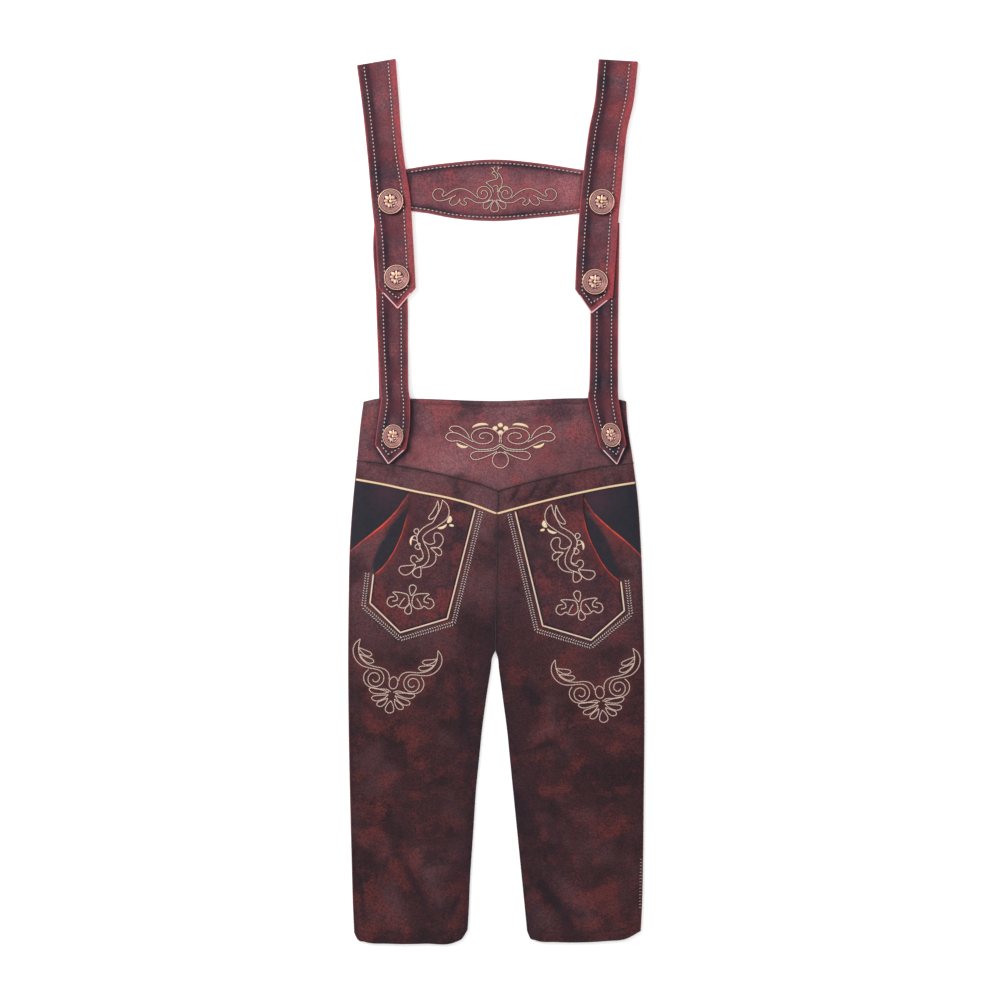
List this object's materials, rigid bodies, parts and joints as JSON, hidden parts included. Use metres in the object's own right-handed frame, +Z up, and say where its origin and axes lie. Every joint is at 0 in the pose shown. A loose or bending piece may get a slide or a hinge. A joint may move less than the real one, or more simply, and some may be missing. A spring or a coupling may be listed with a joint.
{
  "type": "knee-length bib overalls with shoulder straps",
  "caption": "Knee-length brown overalls with buttoned shoulder straps, a chest band, pointed tabs and embroidered patch pockets, laid flat on their back.",
  "frame": {"origin": "middle of the underside of the garment as it lies, on the surface that it rests on", "axes": "+Y towards the shoulders, +X to the right as the front is seen, +Z up out of the front"},
  "size_m": [0.445, 1.3292, 0.0121],
  "materials": {
    "waistband": "brushed suede-look polyester",
    "leg_cloth": "brushed suede-look polyester, printed darker at the hips",
    "pocket_cloth": "brushed suede-look polyester",
    "strap_cloth": "brushed suede-look polyester, shaded red at the edges",
    "gold_piping": "satin cord",
    "cream_piping": "satin cord",
    "button_metal": "antique copper, worn bright on its rim"
  },
  "bodies": {
    "root": {"front_waistband": "waistband", "back_waistband": "waistband", "front_leg_left": "leg_cloth", "back_leg_left": "leg_cloth", "pocket_left": "pocket_cloth", "hip_piping_left": "gold_piping", "pocket_piping_left": "cream_piping", "shoulder_strap_left": "strap_cloth", "lower_strap_left": "strap_cloth", "front_leg_right": "leg_cloth", "back_leg_right": "leg_cloth", "pocket_right": "pocket_cloth", "hip_piping_right": "gold_piping", "pocket_piping_right": "cream_piping", "shoulder_strap_right": "strap_cloth", "lower_strap_right": "strap_cloth", "chest_band": "strap_cloth", "button_left_1": "button_metal", "button_left_2": "button_metal", "button_left_3": "button_metal", "button_right_1": "button_metal", "button_right_2": "button_metal", "button_right_3": "button_metal"}
  },
  "joints": []
}
